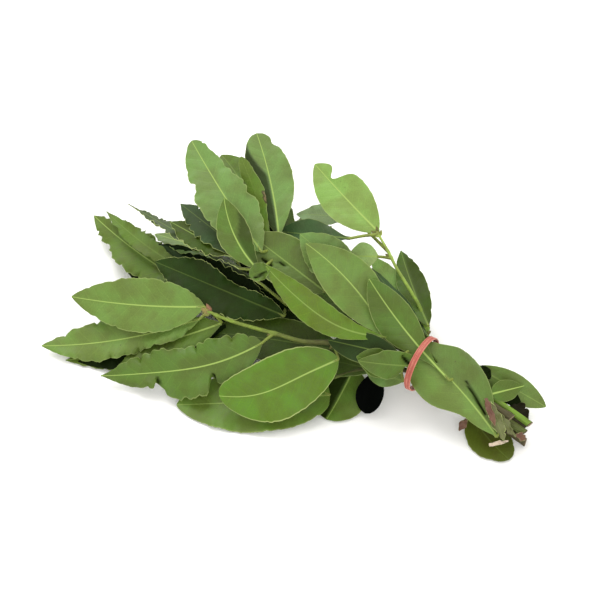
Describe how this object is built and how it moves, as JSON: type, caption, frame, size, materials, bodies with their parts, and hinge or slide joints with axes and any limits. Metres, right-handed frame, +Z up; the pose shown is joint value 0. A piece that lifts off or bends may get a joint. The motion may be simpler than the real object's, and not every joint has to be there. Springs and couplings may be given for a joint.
{
  "type": "tied bunch of bay leaf sprigs",
  "caption": "Loose bunch of leafy bay laurel sprigs lying on a surface, held at the neck by a flat rubber band, with the cut stems past it.",
  "frame": {"origin": "on the surface that the bunch lies on, under the middle of its box", "axes": "+X along the bunch towards the cut stems, +Z up, -Y the side of the broad front leaves"},
  "size_m": [0.3043, 0.1639, 0.0944],
  "materials": {
    "front_sprig": "satin green leaves with pale midribs on a brown-green stem",
    "low_sprig": "satin mid-green leaves on a brown-green stem",
    "dark_sprig": "dark green leaves with lighter edges on a brown-green stem",
    "middle_sprig": "dark blue-green and olive leaves on a brown-green stem",
    "tall_sprig": "pale green leaf undersides with raised midribs",
    "top_sprig": "satin green leaves with pale midribs",
    "right_sprig": "bright yellow-green leaves on a yellow-green stem",
    "rubber_band": "matt salmon-red rubber"
  },
  "bodies": {
    "root": {"front_sprig": "front_sprig", "low_sprig": "low_sprig", "dark_sprig": "dark_sprig", "middle_sprig": "middle_sprig", "tall_sprig": "tall_sprig", "top_sprig": "top_sprig", "right_sprig": "right_sprig", "rubber_band": "rubber_band"}
  },
  "joints": []
}
